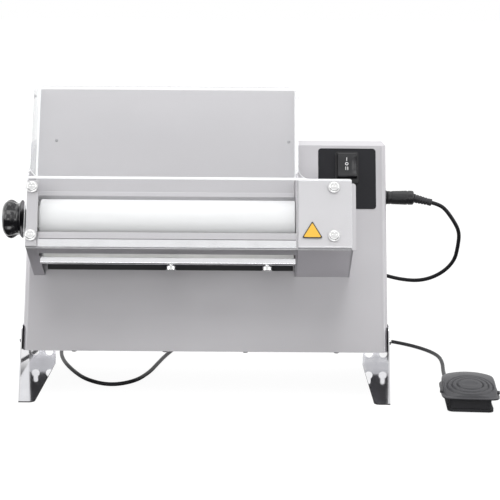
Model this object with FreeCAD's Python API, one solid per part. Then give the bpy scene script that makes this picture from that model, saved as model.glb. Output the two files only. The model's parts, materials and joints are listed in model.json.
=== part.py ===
import FreeCAD, Part
import math
import os

from FreeCAD import Vector

# Table-top dough sheeter with a foot pedal. Millimetres.
# The machine is drawn with X=0 at the middle of its casing, Y=0 on its rear plane (-Y is the front)
# and Z=0 on the table. ORIGIN then puts the row's origin under the middle of machine and pedal.

# ---------------------------------------------------------------- driving dimensions
BODY_W = 463.8            # casing width
BODY_Z0, BODY_Z1 = 60.7, 312.7
FRONT_FOOT_Y = -155.5     # the front panel's lower edge
LEAN = 21.0               # how far the front panel leans back, degrees
SHEET = 1.5               # sheet steel thickness
CORNER_R = 8.0            # bend radius of the casing's front corners

LEG_W = 20.0              # width of the foot and wall flanges
LEG_FRONT_Y = -180.3
LEG_TOP = 90.0
KEYHOLE_R, KEYHOLE_Z, KEYHOLE_INSET = 5.5, 17.0, 11.3

ROLLER_R, SHAFT_R = 25.0, 8.0
ROLLER_X0, ROLLER_X1 = -206.0, 112.0
AXIS_S, AXIS_N = 162.0, 38.0       # front roller's axis, along and out from the front panel
GEAR_MODULE, GEAR_TEETH = 3.0, 17
GEAR_GAP = 0.1                     # extra centre distance at the closest setting
DRIVE_MODULE, DRIVE_TEETH, PINION_TEETH = 2.5, 32, 17
BACKLASH = 0.35
TRAVEL = 4.0                       # how far the front roller opens
FIT = 0.05                         # radial running clearance

PLATE_L, PLATE_I, PLATE_O = -219.8, 113.0, 181.2   # outer faces' low X of the three head plates
PLATE_T = 2.0
HEAD_N = 73.0                      # steel front face of the head, out from the panel
HEAD_S0, HEAD_S1 = 121.3, 207.3    # lower and upper front edge
HEAD_FOOT_S = 96.5                 # where the head's underside meets the panel
PLATE_TOP_S = 217.0
CLEAR_T = 3.0                      # clear sheet thickness
SHIELD_TOP = (-101.5, 390.5)       # Y and Z of the shield's upper edge

CHUTE_X0, CHUTE_X1 = -217.5, 112.5
CHUTE_LIP = (-99.0, 249.4)
CHUTE_TOP = (-45.4, 382.0)

PEDAL_X = 331.6
LIP_W, LIP_Y0, LIP_Y1 = 71.2, -216.0, -141.0
LIP_Z = 18.0
LIP_R = 14.0
PIN_OUT = 1.2                      # how far the pedal's pins stand out of its lip
PEDAL_Y = (LIP_Y0 + LIP_Y1) / 2
PEDAL_TURN = -4.0                  # the pedal stands turned about its own middle

CORD_R = 2.6
KNOB_TIP_X = -254.0

TURN_COS, TURN_SIN = math.cos(math.radians(PEDAL_TURN)), -math.sin(math.radians(PEDAL_TURN))
FLAT_X, FLAT_Y = LIP_W / 2 - LIP_R, (LIP_Y1 - LIP_Y0) / 2 - LIP_R
PEDAL_REACH_X = FLAT_X * TURN_COS + FLAT_Y * TURN_SIN + LIP_R
PEDAL_REACH_Y = FLAT_Y * TURN_COS + FLAT_X * TURN_SIN + LIP_R
ORIGIN = Vector(-(KNOB_TIP_X + PEDAL_X + PEDAL_REACH_X) / 2, -(PEDAL_Y - PEDAL_REACH_Y) / 2, 0)

SIN, COS = math.sin(math.radians(LEAN)), math.cos(math.radians(LEAN))
UP_PANEL, OUT_PANEL = Vector(0, SIN, COS), Vector(0, -COS, SIN)
X_AXIS, Y_AXIS, Z_AXIS = Vector(1, 0, 0), Vector(0, 1, 0), Vector(0, 0, 1)

os.makedirs("parts", exist_ok=True)


# ---------------------------------------------------------------- helpers
def save(node, *solids):
    """Write one node; several solids stay separate in one compound."""
    moved = []
    for solid in solids:
        solid = solid.copy()
        solid.translate(ORIGIN)
        moved.append(solid)
    shape = moved[0] if len(moved) == 1 else Part.makeCompound(moved)
    if not shape.isValid():
        print("not valid:", node)
    shape.exportStep(f"parts/{node}.step")


def save_pedal(node, *solids):
    """Write a pedal node, turned with the pedal."""
    turned = []
    for solid in solids:
        solid = solid.copy()
        solid.rotate(Vector(PEDAL_X, PEDAL_Y, 0), Z_AXIS, PEDAL_TURN)
        turned.append(solid)
    save(node, *turned)


def on_head(s, n):
    """Y and Z of a point s up the front panel and n out from it."""
    return FRONT_FOOT_Y + s * SIN - n * COS, BODY_Z0 + s * COS + n * SIN


def at_head(x, s, n):
    return Vector(x, *on_head(s, n))


def box(x0, x1, y0, y1, z0, z1):
    return Part.makeBox(x1 - x0, y1 - y0, z1 - z0, Vector(x0, y0, z0))


def prism(points, x0, x1):
    """Extrude a (Y, Z) outline along X."""
    wire = Part.makePolygon([Vector(x0, y, z) for y, z in points + points[:1]])
    return Part.Face(wire).extrude(Vector(x1 - x0, 0, 0))


def head_prism(points, x0, x1):
    """Extrude an (s, n) outline along X."""
    return prism([on_head(s, n) for s, n in points], x0, x1)


def head_box(s0, s1, n0, n1, x0, x1):
    return head_prism([(s0, n0), (s1, n0), (s1, n1), (s0, n1)], x0, x1)


def rod(x0, x1, y, z, r):
    return Part.makeCylinder(r, x1 - x0, Vector(x0, y, z), X_AXIS)


def head_rod(x0, x1, s, n, r):
    y, z = on_head(s, n)
    return rod(x0, x1, y, z, r)


def tube(x0, x1, s, n, r, bore):
    return head_rod(x0, x1, s, n, r).cut(head_rod(x0 - 1, x1 + 1, s, n, bore))


def slot(x0, x1, s, n0, n1, r):
    """A slot cutter along X, long in the direction away from the panel."""
    ends = head_rod(x0, x1, s, n0, r).fuse(head_rod(x0, x1, s, n1, r))
    return ends.fuse(head_box(s - r, s + r, n0, n1, x0, x1)).removeSplitter()


def joined(first, *others):
    return first.fuse(list(others)).removeSplitter()


def edges_along(shape, direction, near, reach=0.6):
    """The edges parallel to direction that pass within reach of the point near."""
    found = []
    for edge in shape.Edges:
        if not isinstance(edge.Curve, Part.Line):
            continue
        if abs(edge.Curve.Direction.dot(direction)) < 0.999:
            continue
        if edge.Curve.toShape().distToShape(Part.Vertex(near))[0] < reach:
            found.append(edge)
    return found


def rounded(shape, radius, direction, *near):
    edges = [e for point in near for e in edges_along(shape, direction, point)]
    return shape.makeFillet(radius, edges)


def rounded_block(x0, x1, y0, y1, z0, z1, r):
    """A block with its four upright edges rounded."""
    block = box(x0, x1, y0, y1, z0, z1)
    return block.makeFillet(r, [e for e in block.Edges if e.Length > 0 and upright(e)])


def upright(edge):
    return isinstance(edge.Curve, Part.Line) and abs(edge.Curve.Direction.z) > 0.999


def pan_screw(place, direction, head_r, head_h, shank_r, shank_l):
    """A pan-head cross screw: its head stands out along direction from place."""
    head = Part.makeCylinder(head_r, head_h, place, direction)
    top = head.Edges
    rim = [e for e in top if isinstance(e.Curve, Part.Circle)
           and (e.Curve.Center - place).Length > head_h / 2]
    head = head.makeFillet(head_h * 0.45, rim)
    side = direction.cross(X_AXIS if abs(direction.x) < 0.9 else Y_AXIS)
    arm = head_r * 0.55
    for a in (side, direction.cross(side)):
        b = direction.cross(a)
        corner = place + direction * (head_h * 0.55) - a * arm - b * (arm * 0.18)
        slab = Part.makeBox(2 * arm, 0.36 * arm, head_h, Vector(0, 0, 0))
        turn = FreeCAD.Rotation(a, b, direction, "ZXY")
        slab.Placement = FreeCAD.Placement(corner, turn)
        head = head.cut(slab)
    shank = Part.makeCylinder(shank_r, shank_l, place, direction * -1)
    return head.fuse(shank).removeSplitter()


def gear(teeth, module, x0, x1, centre, tooth_angle, bore):
    """A spur gear about X: involute flanks, a tooth centred at tooth_angle (degrees, from +Y to +Z)."""
    pitch_r = module * teeth / 2
    base_r, tip_r = pitch_r * math.cos(math.radians(20)), pitch_r + module
    root_r = pitch_r - 1.25 * module
    half_tooth = math.pi / (2 * teeth) - BACKLASH / (4 * pitch_r)

    def involute(r):
        roll = math.sqrt(max((r / base_r) ** 2 - 1, 0))
        return roll - math.atan(roll)

    start_r = max(base_r, root_r)
    flank = [start_r + (tip_r - start_r) * k / 5 for k in range(6)]
    at_pitch = involute(pitch_r)
    outline = []
    for tooth in range(teeth):
        middle = math.radians(tooth_angle) + 2 * math.pi * tooth / teeth
        sides = [(r, half_tooth + at_pitch - involute(r)) for r in flank]
        sides = [(root_r, sides[0][1])] + sides if root_r < start_r - 0.01 else sides
        outline += [(r, middle - a) for r, a in sides]
        outline += [(r, middle + a) for r, a in reversed(sides)]
    points = [(centre[0] + r * math.cos(a), centre[1] + r * math.sin(a)) for r, a in outline]
    return prism(points, x0, x1).cut(rod(x0 - 1, x1 + 1, *centre, bore))


# ---------------------------------------------------------------- casing
HALF = BODY_W / 2
INSIDE = HALF - SHEET
PANEL_TOP_Y = FRONT_FOOT_Y + (BODY_Z1 - BODY_Z0) * math.tan(math.radians(LEAN))
PANEL_SKIN = SHEET / COS           # the panel's thickness measured along Y
WINDOW_ROLLER = (130.0, 190.0)     # s range of the opening behind the rollers
WINDOW_GEARS = (112.0, 205.5)      # s range of the opening behind the gears
WINDOW_GAP = 0.1


def make_casing():
    outline = [(FRONT_FOOT_Y, BODY_Z0), (PANEL_TOP_Y, BODY_Z1), (0, BODY_Z1), (0, BODY_Z0)]
    outer = prism(outline, -HALF, HALF)
    corners = [Vector(x, FRONT_FOOT_Y, BODY_Z0) for x in (-HALF, HALF)]
    outer = rounded(outer, CORNER_R, UP_PANEL, *corners)
    low, high = BODY_Z0 - 10, BODY_Z1 - SHEET
    tan = math.tan(math.radians(LEAN))
    low_y = FRONT_FOOT_Y + PANEL_SKIN + (low - BODY_Z0) * tan
    high_y = FRONT_FOOT_Y + PANEL_SKIN + (high - BODY_Z0) * tan
    inner = prism([(low_y, low), (high_y, high), (10, high), (10, low)], -INSIDE, INSIDE)
    corners = [Vector(x, low_y, low) for x in (-INSIDE, INSIDE)]
    inner = rounded(inner, CORNER_R - SHEET, UP_PANEL, *corners)
    low_z, high_z, edge = BODY_Z0 + 2 * SHEET, BODY_Z1 - SHEET, INSIDE - FLANGE_W
    rims = [box(-INSIDE - 0.1, INSIDE + 0.1, *FLANGE_Y, high_z - FLANGE_W, high_z + 0.1),
            box(-INSIDE - 0.1, -edge, *FLANGE_Y, low_z, high_z),
            box(edge, INSIDE + 0.1, *FLANGE_Y, low_z, high_z)]
    shell = joined(outer.cut(inner), *rims)
    left = PLATE_L - WINDOW_GAP
    right = PLATE_O + PLATE_T + WINDOW_GAP
    shell = shell.cut(head_box(*WINDOW_ROLLER, -5, 5, left, PLATE_I + PLATE_T))
    shell = shell.cut(head_box(*WINDOW_GEARS, -5, 5, PLATE_I + PLATE_T, right))
    shell = shell.cut(head_box(*SWITCH_HOLE_S, -5, 5, *SWITCH_HOLE_X))
    shell = shell.cut(rod(HALF - 5, HALF + 5, *SOCKET_AT, SOCKET_R))
    save("casing", shell)


COVER_Y = -SHEET                   # the rear cover's outer face: recessed, so its screws clear a wall
FLANGE_Y = (COVER_Y - 2 * SHEET - 0.1, COVER_Y - SHEET - 0.1)
FLANGE_W = 12.0


def make_rear_cover():
    plate = box(-INSIDE + 0.3, INSIDE - 0.3, COVER_Y - SHEET, COVER_Y, BODY_Z0 + 0.4, BODY_Z1 - SHEET - 0.3)
    vent_w, vent_h, vent_pitch = 56.0, 4.0, 11.0
    for column in (-150.0, 150.0):
        for row in range(6):
            z = 150.0 + row * vent_pitch
            plate = plate.cut(box(column - vent_w / 2, column + vent_w / 2, -9, 5, z, z + vent_h))
    save("rear_cover", plate)


def make_bottom_plate():
    y0 = FRONT_FOOT_Y + PANEL_SKIN + 0.9
    plate = rounded_block(-INSIDE + 0.3, INSIDE - 0.3, y0, FLANGE_Y[1], BODY_Z0, BODY_Z0 + SHEET, 7)
    rim = box(-INSIDE + FLANGE_W + 1, INSIDE - FLANGE_W - 1, *FLANGE_Y, BODY_Z0, BODY_Z0 + FLANGE_W + 1)
    plate = joined(plate, rim)
    plate = plate.cut(Part.makeCylinder(8.05, 10, Vector(*GLAND_AT, BODY_Z0 - 5)))
    save("bottom_plate", plate)


def make_casing_screws():
    down = Vector(0, 0, -1)
    below = [pan_screw(Vector(x, -148.5, BODY_Z0), down, 3.6, 2.4, 1.6, 6)
             for x in (-166.5, -51.0, 51.0, 166.5)]
    places = [(x, z) for x in (-210.0, 0.0, 210.0) for z in (68.0, 305.0)]
    behind = [pan_screw(Vector(x, COVER_Y, z), Y_AXIS, 3.4, 1.3, 1.5, 5) for x, z in places]
    save("casing_screws", *below, *behind)


def make_leg(node, side):
    """A bent foot bracket: side plate, foot flange and rear flange with a keyhole."""
    inner, outer = HALF + 0.1, HALF + 0.1 + SHEET
    slope = math.tan(math.radians(LEAN))
    plate = prism([(LEG_FRONT_Y, 0), (LEG_FRONT_Y + LEG_TOP * slope, LEG_TOP), (0, LEG_TOP), (0, 0)],
                  inner, outer)
    plate = rounded(plate, 8, X_AXIS, Vector(outer, LEG_FRONT_Y + LEG_TOP * slope, LEG_TOP),
                    Vector(outer, 0, LEG_TOP))
    foot = box(outer - LEG_W, outer, LEG_FRONT_Y, 0, 0, SHEET)
    foot = rounded(foot, 7, Z_AXIS, Vector(outer - LEG_W, LEG_FRONT_Y, 0))
    rear = box(outer - LEG_W, outer, -SHEET, 0, 0, BODY_Z0 - 0.5)
    hole_x = outer - KEYHOLE_INSET
    hole = Part.makeCylinder(KEYHOLE_R, 10, Vector(hole_x, -5, KEYHOLE_Z), Y_AXIS)
    neck = box(hole_x - 3, hole_x + 3, -5, 5, KEYHOLE_Z, KEYHOLE_Z + 10)
    neck = neck.fuse(Part.makeCylinder(3, 10, Vector(hole_x, -5, KEYHOLE_Z + 10), Y_AXIS))
    leg = joined(plate, foot, rear).cut(hole.fuse(neck))
    if side < 0:
        leg = leg.mirror(Vector(0, 0, 0), X_AXIS)
    save(node, leg)


def make_leg_bolts():
    bolts = []
    for side in (-1, 1):
        for y in (-138.0, -30.0):
            place = Vector(side * (HALF + 0.1 + SHEET), y, 71.5)
            bolts.append(pan_screw(place, X_AXIS * side, 5.0, 3.2, 2.5, 8))
    save("leg_bolts", *bolts)


# ---------------------------------------------------------------- roller head
REAR_N = AXIS_N - GEAR_MODULE * GEAR_TEETH - GEAR_GAP
PLATE_BACK_N = -38.0
JOURNAL_SLOT = 0.6                 # how much wider a plate's slot is than what passes through
KNOB_SHAFT_R, BORE_R = 4.95, 5.0
BUSH_R = 10.0
FLANGE_IN = 13.8                   # width of the left plate's front and lower flanges


def plate_outline(top_s, front_n):
    foot_n = 0.2
    low_s = HEAD_FOOT_S + (HEAD_S0 - HEAD_FOOT_S) * front_n / HEAD_N
    return [(HEAD_FOOT_S, foot_n), (low_s, front_n), (top_s, front_n), (top_s, foot_n)]


def make_plate(x, top_s, front_n, back_n, round_r=9.0):
    plate = head_prism(plate_outline(top_s, front_n), x, x + PLATE_T)
    plate = rounded(plate, round_r, X_AXIS, at_head(x, top_s, front_n))
    tongue_s = (131.0, 189.0) if back_n < -30 else (140.0, 182.0)
    return joined(plate, head_box(*tongue_s, back_n, 0.3, x, x + PLATE_T))


def make_head_plates():
    left = make_plate(PLATE_L, PLATE_TOP_S, HEAD_N - 0.7, PLATE_BACK_N)
    flange = head_box(HEAD_S0, 204, HEAD_N - SHEET, HEAD_N, PLATE_L, PLATE_L + FLANGE_IN)
    lower = [(HEAD_FOOT_S, 0.2), (HEAD_S0, HEAD_N), (HEAD_S0 + SHEET, HEAD_N), (HEAD_FOOT_S + SHEET, 0.2)]
    underside = head_prism(lower, PLATE_L, PLATE_L + FLANGE_IN)
    tab = head_box(134, 186, -3.6, -1.8, PLATE_L - 6, PLATE_L + 0.1)
    left = joined(left, flange, underside, tab)
    left = left.cut(slot(PLATE_L - 9, PLATE_L + 9, AXIS_S, AXIS_N, AXIS_N + TRAVEL,
                         KNOB_SHAFT_R + JOURNAL_SLOT))
    left = left.cut(head_rod(PLATE_L - 9, PLATE_L + 9, AXIS_S, REAR_N, BUSH_R))
    save("head_left_plate", left)

    middle = make_plate(PLATE_I, PLATE_TOP_S, HEAD_N - 3, PLATE_BACK_N)
    middle = middle.cut(slot(PLATE_I - 9, PLATE_I + 9, AXIS_S, AXIS_N, AXIS_N + TRAVEL,
                             SHAFT_R + JOURNAL_SLOT))
    middle = middle.cut(head_rod(PLATE_I - 9, PLATE_I + 9, AXIS_S, REAR_N, BUSH_R))
    save("head_inner_plate", middle)

    outer = make_plate(PLATE_O, 203.0, HEAD_N - 3, -29.0, 6.0)
    lip = head_box(119, 203, HEAD_N - 3 - SHEET, HEAD_N - 3, PLATE_O, PLATE_O + 5.4)
    lip = rounded(lip, 3.5, OUT_PANEL, at_head(PLATE_O + 5.4, 203, HEAD_N - 3))
    outer = joined(outer, lip)
    outer = outer.cut(head_rod(PLATE_O - 9, PLATE_O + 9, AXIS_S, REAR_N, BUSH_R))
    save("head_outer_plate", outer)


COVER_X0, COVER_X1 = PLATE_I + PLATE_T + 0.3, PLATE_O - 0.2


def make_gear_cover():
    t = SHEET
    outer = head_prism([(HEAD_FOOT_S, 0.2), (HEAD_S0, HEAD_N), (HEAD_S1, HEAD_N), (HEAD_S1, 0.2)],
                       COVER_X0, COVER_X1)
    inner = head_prism([(HEAD_FOOT_S + t, -9), (HEAD_S0 + t * 0.7, HEAD_N - t),
                        (HEAD_S1 - t, HEAD_N - t), (HEAD_S1 - t, -9)], COVER_X0 - 5, COVER_X1 + 5)
    cover = outer.cut(inner)
    cover = rounded(cover, 2.4, X_AXIS, at_head(COVER_X0, HEAD_S0, HEAD_N), at_head(COVER_X0, HEAD_S1, HEAD_N))
    save("gear_cover", cover)


BAR_X0, BAR_X1 = PLATE_L + PLATE_T + 0.1, PLATE_I - 0.1
FLANGE_X1 = PLATE_L + FLANGE_IN + 0.2
BLADE_X0, BLADE_X1 = -202.5, ROLLER_X1 - 1


def make_bars():
    """The cross bars under the rollers, with the two scraper blades."""
    cross = joined(
        head_box(HEAD_S0 - 0.6, 130.5, HEAD_N - 4.5, HEAD_N - 1.8, FLANGE_X1, BAR_X1),
        head_box(129.0, 140.2, HEAD_N - 7.5, HEAD_N - 6.0, BAR_X0, BAR_X1),
        head_box(129.0, 130.5, HEAD_N - 7.5, HEAD_N - 1.8, FLANGE_X1, BAR_X1),
        head_prism([(120.7, HEAD_N - 1.8), (115.2, 55.0), (116.7, 55.0), (122.2, HEAD_N - 1.8)],
                   FLANGE_X1, BAR_X1))
    save("front_crossbar", cross)
    bar = head_box(105.0, 113.0, 34.0, 41.5, FLANGE_X1, BAR_X1)
    bar = rounded(bar, 2, X_AXIS, at_head(BAR_X0, 105, 41.5), at_head(BAR_X0, 105, 34))
    arm = head_box(112.7, 119.0, 36.0, 41.5, BAR_X0, FLANGE_X1 + 3)
    bar = joined(bar, arm, head_box(107.0, 119.0, 36.0, 41.5, FLANGE_X1, FLANGE_X1 + 3))
    save("scraper_bar", bar)
    tip_s, tip_n = AXIS_S - 24.7, AXIS_N - 6.9
    blade = head_prism([(113.1, 36.2), (tip_s - 0.4, tip_n - 0.7), (tip_s, tip_n), (113.1, 37.4)],
                       BLADE_X0, BLADE_X1)
    save("front_scraper", blade)
    rear = head_prism([(104.0, 0.25), (140.2, 0.25), (140.3, 0.7), (137.5, 1.35), (104.0, 1.35)],
                      BLADE_X0, BLADE_X1)
    save("rear_scraper", rear)
    screws = []
    for x in (-42.5, 77.5):
        place = at_head(x, 97.0, 37.8)
        head = Part.makeCylinder(6.5, 6.0, place, UP_PANEL)
        rims = [e for e in head.Edges if isinstance(e.Curve, Part.Circle)]
        head = head.makeFillet(1.2, rims)
        shank = Part.makeCylinder(2.5, 2.15, place + UP_PANEL * 5.8, UP_PANEL)
        screws.append(joined(head, shank))
    save("scraper_screws", *screws)


CAM_MIN, CAM_TURN = 7.0, 270.0     # smallest cam radius and the turn over which it grows by TRAVEL
CAM_LEFT = (-217.4, -213.6)
CAM_RIGHT = (162.0, 166.0)


def cam_disc(x0, x1):
    """A snail cam: its radius towards the panel grows evenly as the shaft turns."""
    centre = on_head(AXIS_S, AXIS_N)
    outline = []
    for step in range(0, 360, 10):
        if step <= CAM_TURN:
            r = CAM_MIN + TRAVEL * step / CAM_TURN
        else:
            r = CAM_MIN + TRAVEL * max(0.0, 1 - (step - CAM_TURN) / 45)
        a = math.radians(-LEAN - step)
        outline.append((centre[0] + r * math.cos(a), centre[1] + r * math.sin(a)))
    return prism(outline, x0, x1)


def make_adjuster():
    shaft = head_rod(-231.0, 168.0, AXIS_S, AXIS_N, KNOB_SHAFT_R)
    save("cam_shaft", joined(shaft, cam_disc(*CAM_LEFT), cam_disc(*CAM_RIGHT)))
    pad_n = (AXIS_N - CAM_MIN - 8.0, AXIS_N - CAM_MIN - 0.4)
    left = head_box(AXIS_S - 8, AXIS_S + 8, *pad_n, PLATE_L + PLATE_T + 0.05, -213.4)
    right = head_box(AXIS_S - 8, AXIS_S + 8, *pad_n, CAM_RIGHT[0] - 0.3, PLATE_O - 0.05)
    save("cam_pads", left, right)


def make_slide_blocks():
    half, out = 14.0, 15.0
    left = head_box(AXIS_S - half, AXIS_S + half, AXIS_N - out, AXIS_N + out, -213.2, -207.2)
    right = head_box(AXIS_S - half, AXIS_S + half, AXIS_N - out, AXIS_N + out, 115.4, 123.4)
    hole = head_rod(-300, 300, AXIS_S, AXIS_N, SHAFT_R + FIT)
    save("slide_blocks", left.cut(hole), right.cut(hole))
    guides = []
    for x0, x1 in ((PLATE_L + PLATE_T + 0.05, -208.0), (PLATE_I + PLATE_T + 0.05, 122.0)):
        for near, far in ((half + 0.35, half + 6), (-half - 6, -half - 0.35)):
            guides.append(head_box(AXIS_S + near, AXIS_S + far, AXIS_N - out, AXIS_N + out + 6, x0, x1))
    save("slide_guides", *guides)


def roller_sleeve(n):
    sleeve = tube(ROLLER_X0, ROLLER_X1, AXIS_S, n, ROLLER_R, SHAFT_R)
    rims = [e for e in sleeve.Edges if isinstance(e.Curve, Part.Circle) and abs(e.Curve.Radius - ROLLER_R) < 0.01]
    return sleeve.makeFillet(1.2, rims)


REAR_SHAFT = (-219.7, 183.1)
FRONT_SHAFT = (-213.1, 146.0)
ROLLER_GEAR_X = (131.0, 143.0)
DRIVE_GEAR_X = (146.5, 158.5)
DRIVE_DISTANCE = DRIVE_MODULE * (DRIVE_TEETH + PINION_TEETH) / 2 + GEAR_GAP / 2
OUTPUT_BACK = 19.0                 # how far the gearbox shaft lies behind the rear roller's axis


def make_rollers():
    save("front_roller", roller_sleeve(AXIS_N))
    save("rear_roller", roller_sleeve(REAR_N))
    save("front_shaft", tube(*FRONT_SHAFT, AXIS_S, AXIS_N, SHAFT_R, BORE_R))
    save("rear_shaft", head_rod(*REAR_SHAFT, AXIS_S, REAR_N, SHAFT_R))
    bore = SHAFT_R + FIT
    left = joined(tube(PLATE_L, -208.6, AXIS_S, REAR_N, BUSH_R, bore),
                  tube(-208.6, -206.4, AXIS_S, REAR_N, 13.0, bore))
    middle = joined(tube(112.5, 115.4, AXIS_S, REAR_N, BUSH_R, bore),
                    tube(115.1, 118.0, AXIS_S, REAR_N, 13.0, bore))
    outer = joined(tube(178.5, 181.1, AXIS_S, REAR_N, 13.0, bore),
                   tube(181.0, PLATE_O + PLATE_T, AXIS_S, REAR_N, BUSH_R, bore))
    save("rear_bushes", left, middle, outer)


def make_gears():
    outward = 180.0 - LEAN         # the angle from rear to front roller, from +Y to +Z
    rear, front = on_head(AXIS_S, REAR_N), on_head(AXIS_S, AXIS_N)
    save("rear_roller_gear", gear(GEAR_TEETH, GEAR_MODULE, *ROLLER_GEAR_X, rear, outward, SHAFT_R))
    save("front_roller_gear", gear(GEAR_TEETH, GEAR_MODULE, *ROLLER_GEAR_X, front, outward, SHAFT_R))
    down = math.sqrt(DRIVE_DISTANCE ** 2 - OUTPUT_BACK ** 2)
    output = (rear[0] + OUTPUT_BACK, rear[1] - down)
    towards = math.degrees(math.atan2(-down, OUTPUT_BACK))
    save("drive_gear", gear(DRIVE_TEETH, DRIVE_MODULE, *DRIVE_GEAR_X, rear, towards, SHAFT_R))
    save("pinion", gear(PINION_TEETH, DRIVE_MODULE, *DRIVE_GEAR_X, output, towards, OUTPUT_R))
    save("output_shaft", rod(105.0, 162.0, *output, OUTPUT_R))
    return output


OUTPUT_R = 6.0
MOTOR_AT = (-68.0, 112.0)          # Y and Z of the motor's axis


def make_drive(output):
    gearbox = box(60.0, 112.0, -108.0, -30.0, 80.0, 168.0)
    gearbox = gearbox.makeFillet(6, [e for e in gearbox.Edges if abs(e.Length - 52.0) < 0.01])
    gearbox = gearbox.cut(rod(104.0, 113.0, *output, OUTPUT_R + FIT))
    save("gearbox", gearbox)
    motor = rod(-70.0, 59.9, *MOTOR_AT, 31.0)
    for k in range(14):
        x = -52.0 + 7.5 * k
        motor = motor.fuse(rod(x, x + 2.5, *MOTOR_AT, 34.0))
    cap = rod(-92.0, -70.1, *MOTOR_AT, 33.0)
    cap = cap.makeFillet(5, [e for e in cap.Edges if isinstance(e.Curve, Part.Circle) and e.Curve.Center.x < -91])
    save("motor", motor.removeSplitter(), cap)
    upright_plate = box(112.1, 114.5, -110.0, -28.0, 62.4, 166.0)
    hole = rod(110.0, 120.0, *output, 12.0)
    bracket = joined(upright_plate.cut(hole), box(86.0, 114.5, -110.0, -28.0, 62.4, 64.9))
    save("motor_bracket", bracket)
    can = Part.makeCylinder(17.0, 60.0, Vector(-150.0, -62.0, 62.4))
    save("motor_capacitor", can)
    save("control_box", rounded_block(-215.0, -175.0, -100.0, -30.0, 62.4, 150.0, 3))


# ---------------------------------------------------------------- hopper
def upper_direction():
    """Unit vector up the shield's upper part, and its outward normal."""
    low_y, low_z = on_head(HEAD_S1, HEAD_N + CLEAR_T)
    rise = Vector(0, SHIELD_TOP[0] - low_y, SHIELD_TOP[1] - low_z)
    length = rise.Length
    rise.normalize()
    return rise, X_AXIS.cross(rise) * -1, length


SHIELD_X0, SHIELD_X1 = -221.8, 181.2
UPPER_X0, UPPER_X1 = -220.6, 115.2
SHIELD_FOOT_S = 118.5
WEB_R = 14.0
SHIELD_SCREWS = ((-213.3, 195.0), (-213.3, 134.5), (159.2, 197.0), (159.2, 136.0))


def make_shield():
    rise, out, length = upper_direction()
    if out.y > 0:
        out = out * -1
    bend = at_head(0, HEAD_S1, HEAD_N + CLEAR_T)
    inner_bend = at_head(0, HEAD_S1 - 0.1, HEAD_N + 0.05)
    lower = head_box(SHIELD_FOOT_S, HEAD_S1, HEAD_N + 0.05, HEAD_N + CLEAR_T, SHIELD_X0, SHIELD_X1)
    top = bend + rise * length
    inner_top = top - out * CLEAR_T
    points = [(p.y, p.z) for p in (bend, top, inner_top, bend - out * CLEAR_T, inner_bend)]
    upper = prism(points, UPPER_X0, UPPER_X1)
    web = prism([(p.y, p.z) for p in (bend, bend + rise * WEB_R, bend + rise * WEB_R - out * CLEAR_T,
                                      bend - out * CLEAR_T)], UPPER_X1 - 0.1, UPPER_X1 + WEB_R)
    corner = bend + rise * WEB_R + X_AXIS * (UPPER_X1 + WEB_R)
    web = web.cut(Part.makeCylinder(WEB_R, 20, corner + out * 8, out * -1))
    sheet = joined(lower, upper, web)
    for x, s in SHIELD_SCREWS:
        sheet = sheet.cut(Part.makeCylinder(2.6, 9, at_head(x, s, HEAD_N - 2), OUT_PANEL))
    save("shield_front", sheet)

    face = inner_bend + rise * 12.0
    s_face = face - out * 0.1
    wing = [(s_face.y + 0.4, s_face.z), (inner_top.y + 0.4, inner_top.z - 1.0),
            (CHUTE_TOP[0] + 2.0, CHUTE_TOP[1] - 1.0)]
    low = on_head(PLATE_TOP_S + 0.4, 20.0)
    chute_low = (CHUTE_LIP[0] + (low[1] - CHUTE_LIP[1]) * CHUTE_RUN + 2.0, low[1])
    wing += [chute_low]
    left = prism(wing, UPPER_X0 + 0.1, CHUTE_X0 - 0.1)
    right = prism(wing, CHUTE_X1 + 0.1, UPPER_X1 - 0.1)
    save("hopper_side_left", left)
    save("hopper_side_right", right)
    y, z = (inner_top.y + CHUTE_TOP[0]) / 2 - 4, inner_top.z - 14
    dots = [pan_screw(Vector(UPPER_X0 + 0.1, y, z), X_AXIS * -1, 2.6, 1.4, 1.2, 2.0),
            pan_screw(Vector(UPPER_X1 - 0.1, y, z), X_AXIS, 2.6, 1.4, 1.2, 2.0)]
    return dots


CHUTE_RUN = (CHUTE_TOP[0] - CHUTE_LIP[0]) / (CHUTE_TOP[1] - CHUTE_LIP[1])


def make_chute():
    t = SHEET
    lip = on_head(187.0, 9.0)
    front = [lip, CHUTE_LIP, CHUTE_TOP, (CHUTE_TOP[0] + 9.0, CHUTE_TOP[1])]
    back = [(CHUTE_TOP[0] + 9.0, CHUTE_TOP[1] - t), (CHUTE_TOP[0] + 1.0, CHUTE_TOP[1] - t),
            (CHUTE_LIP[0] + t * 1.1, CHUTE_LIP[1] + 0.2), (lip[0] + t, lip[1] + 0.6)]
    save("chute", prism(front + back, CHUTE_X0, CHUTE_X1))
    brackets, rivets = [], []
    for x in (-195.0, 105.0):
        z = BODY_Z1 + 0.05
        gap = 1.75
        foot_y = CHUTE_LIP[0] + (z - CHUTE_LIP[1]) * CHUTE_RUN + gap
        head_y = CHUTE_LIP[0] + (z + 16 - CHUTE_LIP[1]) * CHUTE_RUN + gap
        brackets.append(prism([(foot_y, z), (head_y, z + 16), (head_y + 2, z + 16), (foot_y + 2.4, z + 2),
                               (-30.0, z + 2), (-30.0, z)], x - 7, x + 7))
        mid_z = z + 5.5
        place = Vector(x, CHUTE_LIP[0] + (mid_z - CHUTE_LIP[1]) * CHUTE_RUN - 0.1, mid_z)
        rivet_head = Part.makeSphere(3.0, place + Vector(0, 2.0, -0.6))
        rivets.append(rivet_head.common(box(x - 5, x + 5, place.y - 5, place.y + 0.2, mid_z - 5, mid_z + 5)))
    save("chute_brackets", *brackets)
    return rivets


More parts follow.
